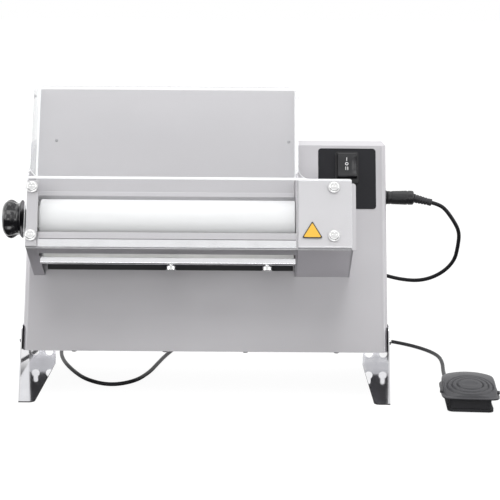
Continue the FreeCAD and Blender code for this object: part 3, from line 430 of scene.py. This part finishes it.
def make_world():
    """White to camera rays; to every other ray brighter with height and behind, and glowing at both sides."""
    world = bpy.data.worlds.new("room")
    SCENE.world = world
    world.use_nodes = True
    tree = world.node_tree
    background = tree.nodes["Background"]

    def new(kind, **settings):
        node = tree.nodes.new(kind)
        for key, value in settings.items():
            setattr(node, key, value)
        return node

    def calculated(operation, first, second):
        node = new("ShaderNodeMath", operation=operation)
        for socket, value in zip(node.inputs, (first, second)):
            if isinstance(value, (int, float)):
                socket.default_value = value
            else:
                tree.links.new(value, socket)
        return node.outputs[0]

    def ranged(value, low, high, source_low, source_high):
        node = new("ShaderNodeMapRange", interpolation_type="SMOOTHSTEP")
        tree.links.new(value, node.inputs["Value"])
        set_range(node, low, high, source_low, source_high)
        return node.outputs["Result"]

    coords = new("ShaderNodeTexCoord")
    split = new("ShaderNodeSeparateXYZ")
    tree.links.new(coords.outputs["Generated"], split.inputs["Vector"])
    rise = ranged(split.outputs["Z"], *SKY_LOW_HIGH, 0.0, 0.55)
    behind = ranged(split.outputs["Y"], 1.0, SKY_BACK, -0.3, 0.6)
    side = calculated("ABSOLUTE", split.outputs["X"], 0.0)
    glow = ranged(side, 0.0, SKY_SIDE, 0.45, 0.95)
    level = calculated("ADD", calculated("MULTIPLY", rise, behind), glow)
    light_path = new("ShaderNodeLightPath")
    seen = light_path.outputs["Is Camera Ray"]
    strength = calculated("MAXIMUM", seen, calculated("MULTIPLY", level, calculated("SUBTRACT", 1.0, seen)))
    tree.links.new(strength, background.inputs["Strength"])
    background.inputs["Color"].default_value = (1, 1, 1, 1)


def area_light(name, place, target, size, power):
    light = bpy.data.lights.new(name, "AREA")
    light.shape, light.size, light.size_y, light.energy = "RECTANGLE", size[0], size[1], power
    obj = bpy.data.objects.new(name, light)
    SCENE.collection.objects.link(obj)
    place, target = Vector(place), Vector(target)
    obj.location = place
    obj.rotation_mode = "QUATERNION"
    obj.rotation_quaternion = (target - place).to_track_quat("-Z", "Y")


LIGHT_TARGET = (0, 0, 0.2)
SOFT_LIGHTS = (("soft_top", (0.0, -0.2, 2.6), (2.6, 2.0), 22),
               ("soft_left", (-2.2, -1.4, 1.5), (1.2, 1.8), 10),
               ("soft_right", (2.3, -1.2, 1.4), (1.0, 1.8), 9),
               ("soft_front", (0.0, -2.2, 0.35), (2.0, 0.5), 7))

make_floor()
make_world()
for name, place, size, power in SOFT_LIGHTS:
    area_light(name, place, LIGHT_TARGET, size, power)


# ---------------------------------------------------------------- pedal cord
CORD_ROUTE = [
    (294.8, -50, 237.2), (303.5, -50, 235.08), (313.6, -49.5, 228.9), (327, -48, 210.6), (334.1, -45, 196.4),
    (333.8, -40, 177.9), (331.1, -31, 154.8), (314.5, -22, 135.1), (290.6, -11, 123.2), (263.6, 1, 122.2),
    (234.9, 17, 127), (204, 38, 128), (172, 64, 113),
    (140, 92, 84), (110, 118, 50), (78, 138, 21), (38, 150, 2.6), (-14, 153, 2.6), (-68, 155, 2.6),
    (-121, 153, 2.6), (-168, 144, 2.6), (-202, 121, 2.6), (-216, 84, 2.6), (-213, 44, 2.6), (-203, 3, 2.6),
    (-184, -44, 2.6), (-160, -88, 2.6), (-126, -113, 2.6), (-95, -94, 2.6), (-79, -51, 2.6), (-71, -6, 2.6),
    (-62, 40, 2.6), (-50, 82, 2.6), (-24, 112, 2.6), (20, 126, 2.6), (72, 131, 2.6), (128, 134, 2.6),
    (186, 138, 2.6), (240, 136, 2.6), (280, 112, 2.6), (309, 80, 2.6), (325, 46, 2.6), (326, 8, 2.6),
    (320, -40, 2.6), (317, -90, 4.0), (318.72, -133.39, 9.0)]
CORD_RADIUS = 2.6                       # millimetres


def make_cord():
    curve = bpy.data.curves.new("pedal_lead", "CURVE")
    curve.dimensions = "3D"
    spline = curve.splines.new("NURBS")
    spline.points.add(len(CORD_ROUTE) - 1)
    for point, place in zip(spline.points, CORD_ROUTE):
        point.co = (*at(*place), 1)
    spline.order_u = 3
    spline.use_endpoint_u = True
    spline.resolution_u = 12
    curve.bevel_depth = CORD_RADIUS / 1000
    curve.bevel_resolution = 6
    curve.use_fill_caps = True
    curve.materials.append(MATERIALS["cord_jacket"])
    obj = bpy.data.objects.new("pedal_lead", curve)
    SCENE.collection.objects.link(obj)
    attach(obj, "frame")
    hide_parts("pedal_cord")
    return obj


PLUG_AT, SLEEVE_FROM, SLEEVE_TO = (235.2, -50, 243.5), (270.6, -50, 243.0), (294.8, -50, 237.2)
PLUG_PROFILE = [(0, 0), (0, 8.0), (0.4, 8.7), (4.5, 8.8), (5.2, 8.3), (6.4, 8.3), (7.1, 8.8), (16, 9.0),
                (26.5, 9.4), (27.2, 8.9), (28.2, 8.9), (28.9, 9.4), (34.2, 9.3), (35.4, 8.6),
                (35.7, 7.6), (35.7, 0)]


def make_plug():
    """The plug's grip with fine finger ribs, and its bending sleeve."""
    def ribbed(along, r, angle):
        if 8 < along < 26:
            return r - 0.35 * (0.5 + 0.5 * math.cos(26 * angle)) ** 2
        return r
    profile = []
    for (a0, r0), (a1, r1) in zip(PLUG_PROFILE, PLUG_PROFILE[1:]):
        steps = 6 if a1 - a0 > 5 else 1
        profile += [(a0 + (a1 - a0) * k / steps, r0 + (r1 - r0) * k / steps) for k in range(steps)]
    profile.append(PLUG_PROFILE[-1])
    mesh = lathe_mesh("plug_grip", at(*PLUG_AT), ALONG_X, profile, 104, ribbed)
    material = MATERIALS["black_plastic"]
    plug = piece("plug_grip", mesh, "frame", [material], ["cord_plug"])

    start, end = at(*SLEEVE_FROM), at(*SLEEVE_TO)
    length = (end - start).length * 1000
    profile = [(0, 0), (0, 5.9), (1.0, 6.0)]
    for k in range(5):
        a = 2.6 + 3.9 * k
        r = 5.8 - 0.28 * k
        profile += [(a, r), (a + 0.35, r - 0.55), (a + 1.35, r - 0.6), (a + 1.7, r - 0.05)]
    profile += [(length - 1.6, 4.55), (length - 1.2, 4.9), (length - 0.2, 4.7), (length, 4.2), (length, 0)]
    mesh = lathe_mesh("plug_sleeve", start, end - start, profile, 40)
    material = MATERIALS["black_rubber"]
    sleeve = piece("plug_sleeve", mesh, "frame", [material], ["plug_strain_relief"])
    return plug, sleeve


lead = make_cord()
plug, sleeve = make_plug()


# ---------------------------------------------------------------- clear shield
SHIELD_LOWER_X, SHIELD_UPPER_X = (-221.8, 181.2), (-220.6, 115.2)
SHIELD_FOOT_S, SHIELD_T, WEB_R, BEND_R = 118.5, 3.0, 14.0, 5.0
SHIELD_TOP = (-101.5, 390.5)
SHIELD_CORNER, WEB_CORNER = 3.0, 1.2
SHIELD_BEND = Vector((0, *on_head(HEAD_TOP_S, HEAD_N + SHIELD_T)))
SHIELD_RISE = (Vector((0, *SHIELD_TOP)) - SHIELD_BEND).normalized()
CHUTE_LIP, CHUTE_TOP = (-99.0, 249.4), (-45.4, 382.0)
CHUTE_X, HEM_HEIGHT, HEM_PROUD = (-217.3, 112.3), 6.2, 1.3
TRIM_X = (-204.0, 112.6)


def shield_point(x, v):
    """v runs up the shield's outer face from the bend line; the bend itself is rounded."""
    bend, rise = SHIELD_BEND, SHIELD_RISE
    if v <= -BEND_R:
        p = bend + UP * v
    elif v >= BEND_R:
        p = bend + rise * v
    else:
        t = (v + BEND_R) / (2 * BEND_R)
        a, b = bend - UP * BEND_R, bend + rise * BEND_R
        p = a * (1 - t) ** 2 + bend * (2 * t * (1 - t)) + b * t ** 2
    return at(x, p.y, p.z)


def make_shield():
    """The bent clear sheet: cut flat from its outline, then carried on to the two faces and the bend."""
    low = -(HEAD_TOP_S - SHIELD_FOOT_S)
    high = (Vector((0, *SHIELD_TOP)) - SHIELD_BEND).length
    x0, x1 = SHIELD_LOWER_X
    u0, u1 = SHIELD_UPPER_X
    corner = SHIELD_CORNER

    def arc(cx, cv, r, a0, a1, steps=6):
        return [(cx + r * math.cos(math.radians(a0 + (a1 - a0) * k / steps)),
                 cv + r * math.sin(math.radians(a0 + (a1 - a0) * k / steps))) for k in range(steps + 1)]
    outline = arc(x0 + corner, low + corner, corner, 180, 270)
    outline += arc(x1 - corner, low + corner, corner, 270, 360)
    outline += arc(x1 - corner, -corner, corner, 0, 90)
    outline += arc(u1 + WEB_R, WEB_R, WEB_R, 270, 180, 12)
    outline += arc(u1 - corner, high - corner, corner, 0, 90)
    outline += arc(u0 + corner, high - corner, corner, 90, 180)
    outline += [(u0, WEB_CORNER)] + arc(x0 + WEB_CORNER, -WEB_CORNER, WEB_CORNER, 90, 180, 3)
    bm = bmesh.new()
    bm.faces.new([bm.verts.new((x, v, 0)) for x, v in outline])
    cuts = [-BEND_R + 2 * BEND_R * k / 8 for k in range(9)] + [WEB_R, low / 2]
    bm.faces.ensure_lookup_table()
    for v in cuts:
        geometry = bm.verts[:] + bm.edges[:] + bm.faces[:]
        bmesh.ops.bisect_plane(bm, geom=geometry, plane_co=(0, v, 0), plane_no=(0, 1, 0), dist=1e-5)
    bm.faces.index_update()
    # Faces along the bend get the glowing bend material: a painted highlight.
    painted_highlight_bend_faces = {f.index for f in bm.faces if abs(f.calc_center_median().y) < 0.2 * BEND_R}
    for vert in bm.verts:
        vert.co = shield_point(vert.co.x, vert.co.y)
    bmesh.ops.recalc_face_normals(bm, faces=bm.faces)
    if sum(f.normal.dot(OUT) * f.calc_area() for f in bm.faces) < 0:
        bmesh.ops.reverse_faces(bm, faces=bm.faces)
    mesh = bpy.data.meshes.new("shield_sheet")
    bm.to_mesh(mesh)
    bm.free()
    materials = [MATERIALS["clear_sheet"], EDGE, BEND]
    shield = piece("shield_sheet", mesh, "frame", materials, ["shield_front"])
    for polygon in mesh.polygons:
        if polygon.index in painted_highlight_bend_faces:
            polygon.material_index = 2
    thick = shield.modifiers.new("thickness", "SOLIDIFY")
    # The rim faces get the glowing edge material: a painted highlight.
    thick.thickness, thick.offset, thick.material_offset_rim = (SHIELD_T - 0.05) / 1000, -1, 1
    thick.use_even_offset = True
    bevelled(shield, 0.35, 2, 60)


def make_hopper_sides():
    """The clear side wings, cut to the CAD wings' outline."""
    rise = SHIELD_RISE
    out = Vector((0, -rise.z, rise.y))
    inner_bend = Vector((0, *on_head(HEAD_TOP_S - 0.1, HEAD_N + 0.05)))
    face = inner_bend + rise * 12.0 - out * 0.1
    inner_top = Vector((0, *SHIELD_TOP)) - out * SHIELD_T
    run = (CHUTE_TOP[0] - CHUTE_LIP[0]) / (CHUTE_TOP[1] - CHUTE_LIP[1])
    low_z = on_head(217.4, 20.0)[1]
    outline = [(face.y + 0.4, face.z), (inner_top.y + 0.4, inner_top.z - 1.0),
               (CHUTE_TOP[0] + 2, CHUTE_TOP[1] - 1),
               (CHUTE_LIP[0] + (low_z - CHUTE_LIP[1]) * run + 2, low_z)]
    for name, x0, x1 in (("hopper_side_left", -220.5, -217.6), ("hopper_side_right", 112.6, 115.1)):
        points = [at(x0, y, z) for y, z in outline]
        mesh = prism_mesh(name + "_sheet", points, ALONG_X * ((x1 - x0) / 1000))
        materials = [MATERIALS["clear_sheet"], EDGE]
        side = piece(name + "_sheet", mesh, "frame", materials, [name], False)
        # The edge faces get the glowing edge material: a painted highlight.
        for polygon in mesh.polygons:
            if abs(polygon.normal.x) < 0.5:
                polygon.material_index = 1
        bevelled(side, 0.35, 2, 60)


def make_chute_hem():
    """The chute's folded lower edge."""
    lip, top = Vector((0, *CHUTE_LIP)), Vector((0, *CHUTE_TOP))
    rise = (top - lip).normalized()
    out = Vector((0, -rise.z, rise.y))
    low, high = lip + rise * 0.3, lip + rise * HEM_HEIGHT
    outline = [at(CHUTE_X[0], p.y, p.z) for p in (low, low + out * HEM_PROUD, high + out * HEM_PROUD, high)]
    mesh = prism_mesh("chute_hem", outline, ALONG_X * ((CHUTE_X[1] - CHUTE_X[0]) / 1000))
    hem = piece("chute_hem", mesh, "frame", [MATERIALS["stainless"]], (), False)
    bevelled(hem, 0.5, 3, 40)


def make_crossbar_trim():
    """A bright folded lip along the lower crossbar, with a dark strip above it: painted shade standing in for
    the shadow in the seam.
    """
    trims = (("crossbar_lip", 121.0, 129.7, HEAD_N - 1.75, HEAD_N - 0.6, BAR),
             # The second strip is painted shade, a dark strip where the seam's shadow falls.
             ("crossbar_painted_shadow_gap", 130.6, 132.0, HEAD_N - 5.95, HEAD_N - 5.5, RIM))
    for name, s0, s1, n0, n1, finish in trims:
        outline = [head_at(TRIM_X[0], s, n) for s, n in ((s0, n0), (s0, n1), (s1, n1), (s1, n0))]
        mesh = prism_mesh(name, outline, ALONG_X * ((TRIM_X[1] - TRIM_X[0]) / 1000))
        trim = piece(name, mesh, "frame", [finish], (), False)
        bevelled(trim, 0.15, 2, 40)


make_crossbar_trim()
make_shield()
make_hopper_sides()
make_chute_hem()


# ---------------------------------------------------------------- gap knob
KNOB_X0, KNOB_LOBES = -254.0, 7
# how far along, radius, and how deep the hollows between the lobes go
KNOB_RINGS = [(0, 0, 0), (0, 6, 0), (0.0, 9.0, 0), (0.5, 9.8, 0), (0.5, 12.5, 0.1), (0.2, 15.0, 0.3),
              (0.9, 18.0, 0.7), (2.2, 20.6, 1.2), (4.2, 23.0, 1.9), (6.6, 24.4, 2.6), (9.2, 24.9, 3.0),
              (11.6, 24.4, 2.8), (13.8, 23.0, 2.2), (15.8, 21.4, 1.4), (17.6, 20.4, 0.8),
              (19.4, 20.3, 0.4), (21.0, 21.2, 0.2), (22.4, 22.7, 0), (23.4, 23.8, 0), (24.0, 24.0, 0),
              (24.5, 23.6, 0), (24.5, 11.0, 0), (33.7, 11.0, 0), (33.7, 5.2, 0)]


def make_knob():
    depth = {round(a, 3) * 1000 + r: d for a, r, d in KNOB_RINGS}

    def lobed(along, r, angle):
        wave = 0.5 - 0.5 * math.cos(KNOB_LOBES * angle)
        return r - depth[round(along, 3) * 1000 + r] * (1 - wave) ** 2
    y, z = on_head(AXIS_S, AXIS_N)
    profile = [(a, r) for a, r, _ in KNOB_RINGS]
    mesh = lathe_mesh("knob_grip", at(KNOB_X0, y, z), ALONG_X, profile, KNOB_LOBES * 24, lobed)
    knob = piece("knob_grip", mesh, "knob_set", [MATERIALS["gloss_black"]], ["gap_knob"])
    smooth = knob.modifiers.new("smooth", "SUBSURF")
    smooth.levels = smooth.render_levels = 1


make_knob()


# ---------------------------------------------------------------- switch rocker and its marks
ROCKER_X, ROCKER_MIDDLE_S, ROCKER_HALF_S = (168.3, 193.5), 242.3, 15.6
ROCKER_LOW, ROCKER_DISH = 7.4, 2.0      # height of the middle, and how far the ends rise above it
MARK_SINK, MARK_LIFT = -0.2, 0.06


def make_rocker():
    """A dished rocker with a scooped right flank."""
    bm = bmesh.new()
    columns, rows = 22, 30
    x0, x1 = ROCKER_X
    half = ROCKER_HALF_S
    grid = []
    for j in range(rows + 1):
        v = -1 + 2 * j / rows
        line = []
        for i in range(columns + 1):
            u = i / columns
            top = ROCKER_LOW + ROCKER_DISH * v * v
            edge = min(u, 1 - u) * (x1 - x0)
            top -= 0.9 * max(0.0, 1 - edge / 1.2) ** 2
            end = (1 - abs(v)) * half
            top -= 1.1 * max(0.0, 1 - end / 1.4) ** 2
            flank = max(0.0, 1 - ((u - 1.0) / 0.26) ** 2) * max(0.0, 1 - (v / 0.72) ** 2)
            top -= 2.6 * flank
            line.append(bm.verts.new(head_at(x0 + u * (x1 - x0), ROCKER_MIDDLE_S + v * half, top)))
        grid.append(line)
    for a, b in zip(grid, grid[1:]):
        for i in range(columns):
            bm.faces.new((a[i], a[i + 1], b[i + 1], b[i]))
    rim = [e for e in bm.edges if len(e.link_faces) == 1]
    skirt = bmesh.ops.extrude_edge_only(bm, edges=rim)["geom"]
    for vert in (g for g in skirt if isinstance(g, bmesh.types.BMVert)):
        n = (vert.co - head_at(0, 0, 0)).dot(OUT)
        vert.co += OUT * (-0.0045 - n)
    mesh = finished(bm, "rocker_cap")
    piece("rocker_cap", mesh, "rocker", [MATERIALS["black_plastic"]], ["switch_rocker"])


def rocker_top(s):
    """The rocker's height at s along its middle line."""
    return ROCKER_LOW + ROCKER_DISH * ((s - ROCKER_MIDDLE_S) / ROCKER_HALF_S) ** 2


def make_marks():
    """The three generic position marks: one bar, a ring, two bars."""
    bm = bmesh.new()
    middle, across = (ROCKER_X[0] + ROCKER_X[1]) / 2 - 0.6, ROCKER_MIDDLE_S + 1.6

    def bar(x, s0, s1, w=0.8):
        corners = [(x - w / 2, s0), (x + w / 2, s0), (x + w / 2, s1), (x - w / 2, s1)]
        low = [bm.verts.new(head_at(cx, cs, rocker_top(cs) + MARK_SINK)) for cx, cs in corners]
        high = [bm.verts.new(head_at(cx, cs, rocker_top(cs) + MARK_LIFT)) for cx, cs in corners]
        bm.faces.new(high)
        for k in range(4):
            bm.faces.new((low[k], low[(k + 1) % 4], high[(k + 1) % 4], high[k]))
    bar(middle, across + 3.8, across + 8.3)
    for dx in (-1.3, 1.3):
        bar(middle + dx, across - 8.3, across - 3.8)
    outer, inner, steps = 2.1, 1.35, 28
    rings = []
    for r, lift in ((outer, MARK_SINK), (outer, MARK_LIFT), (inner, MARK_LIFT), (inner, MARK_SINK)):
        ring = []
        for k in range(steps):
            a = 2 * math.pi * k / steps
            s = across + r * math.sin(a)
            ring.append(bm.verts.new(head_at(middle + r * math.cos(a), s, rocker_top(s) + lift)))
        rings.append(ring)
    bridge(bm, rings, steps)
    piece("rocker_marks", finished(bm, "rocker_marks"), "rocker", [MARK], (), False)


make_rocker()
make_marks()


# ---------------------------------------------------------------- plain triangle label
def rounded_triangle(corners, radius, steps=5):
    """Corner points (x, s) with each corner rounded."""
    points = []
    for k in range(3):
        before, here, after = (Vector(corners[(k + d) % 3]) for d in (-1, 0, 1))
        to_before, to_after = (before - here).normalized(), (after - here).normalized()
        half = to_before.angle(to_after) / 2
        trim = radius / math.tan(half)
        centre = here + (to_before + to_after).normalized() * (radius / math.sin(half))
        first, last = here + to_before * trim - centre, here + to_after * trim - centre
        turn = first.angle_signed(last)
        for j in range(steps + 1):
            a = -turn * j / steps
            points.append(centre + Vector((first.x * math.cos(a) - first.y * math.sin(a),
                                           first.x * math.sin(a) + first.y * math.cos(a))))
    return points


TRIANGLE = ((119.6, 132.8), (145.3, 132.8), (132.45, 154.0))     # corners, X and s up the gear cover


def make_triangle():
    corners = TRIANGLE
    middle = Vector((sum(c[0] for c in corners) / 3, sum(c[1] for c in corners) / 3))
    face_n = HEAD_N + SHIELD_T
    layers = (("triangle_rim", 1.0, 0.30, RIM, ["triangle_label"]),
              ("triangle_face", 0.84, 0.42, MATERIALS["label_yellow"], []))
    for name, scale, top, material, replaced in layers:
        scaled = [tuple(middle + (Vector(c) - middle) * scale) for c in corners]
        outline = [head_at(p.x, p.y, face_n + 0.06) for p in rounded_triangle(scaled, 1.1 * scale)]
        mesh = prism_mesh(name, outline, OUT * (top / 1000))
        piece(name, mesh, "frame", [material], replaced, False)


make_triangle()


# ---------------------------------------------------------------- foot pedal's cap
PEDAL, PEDAL_TURN = Vector((331.6, -178.5)), math.radians(-4.0)
PEDAL_HALF = (35.6, 37.5)
LIP_Z, LIP_T = 18.0, 2.4
DOME_R, DOME_BACK, DOME_TOP, COVER_T = 110.0, 16.0, 35.5, 3.0
TREAD = Vector((0.0, -11.5))            # the middle of the tread's rings
DISH = (10.4, 5.6, 1.5)                 # half width, half depth, how deep
GROOVES = ((16.0, 12.0), (22.6, 17.2), (28.4, 21.8))
GROOVE_W, GROOVE_DEPTH = 1.5, 1.9


def pedal_at(x, y, z):
    turned = Matrix.Rotation(PEDAL_TURN, 2) @ Vector((x, y)) + PEDAL
    return at(turned.x, turned.y, z)


def outline_reach(angle, half_x, half_y, corner):
    """How far a rounded rectangle reaches from its middle in a direction."""
    power = 2 + 9.0 * (1 - corner / min(half_x, half_y))
    c, s = abs(math.cos(angle)) / half_x, abs(math.sin(angle)) / half_y
    return (c ** power + s ** power) ** (-1 / power)


def plain_dome(x, y):
    return DOME_TOP - DOME_R + math.sqrt(DOME_R ** 2 - x * x - (y - DOME_BACK) ** 2)


def tread(x, y):
    """The cap's top: a dome that falls to the front, with an oval dish and oval grooves."""
    z = plain_dome(x, y)
    dx, dy = x - TREAD.x, y - TREAD.y
    dish = math.hypot(dx / DISH[0], dy / DISH[1])
    if dish < 1:
        z -= DISH[2] * (1 - dish ** 2) ** 0.6
    for half_x, half_y in GROOVES:
        away = abs(math.hypot(dx / half_x, dy / half_y) - 1) * (half_x + half_y) / 2
        if away < GROOVE_W:
            z -= GROOVE_DEPTH * (0.5 + 0.5 * math.cos(math.pi * away / GROOVE_W))
    return z


def make_pedal_cap():
    bm = bmesh.new()
    segments, steps = 180, 78
    inner = (PEDAL_HALF[0] - 2.6, PEDAL_HALF[1] - 2.6)
    rings = [[bm.verts.new(pedal_at(*TREAD, tread(*TREAD)))]]
    ledge = LIP_Z + LIP_T

    def ring(half, corner, height, share=1.0):
        """share pulls the ring in from the outline towards the tread's middle."""
        line = []
        for k in range(segments):
            a = 2 * math.pi * k / segments
            r = outline_reach(a, *half, corner)
            place = TREAD.lerp(Vector((r * math.cos(a), r * math.sin(a))), share)
            z = height(*place) if callable(height) else height
            line.append(bm.verts.new(pedal_at(*place, z)))
        rings.append(line)

    for k in range(1, steps + 1):
        ring(inner, 13, tread, k / steps * 0.94)
    for share, drop in ((0.955, 0.1), (0.968, 0.35), (0.98, 0.9), (0.99, 1.7), (0.997, 2.8)):
        ring(inner, 13, lambda x, y, drop=drop: max(plain_dome(x, y) - drop, ledge + 0.2), share)
    grown = [(0.0, 13, 0.1), (0.4, 13, 0.04), (1.8, 13.5, 0.0), (2.3, 14, -0.3), (2.6, 14, -0.9),
             (2.6, 14, -1.8), (2.1, 14, -LIP_T), (-2.5, 11, -LIP_T)]
    for more, corner, rise in grown:
        ring((inner[0] + more, inner[1] + more), corner, ledge + rise)
    for less, corner in ((2.7, 11), (5.0, 9), (12.0, 8), (22.0, 6)):
        ring((inner[0] - less, inner[1] - less), corner,
             lambda x, y: max(plain_dome(x, y) - COVER_T, LIP_Z + 0.4))
    rings.append([bm.verts.new(pedal_at(0, 0, plain_dome(0, 0) - COVER_T))])
    bridge(bm, rings, segments)
    mesh, material = finished(bm, "pedal_cap"), MATERIALS["pedal_plastic"]
    piece("pedal_cap", mesh, "pedal_top", [material], ["pedal_cover"])


make_pedal_cap()
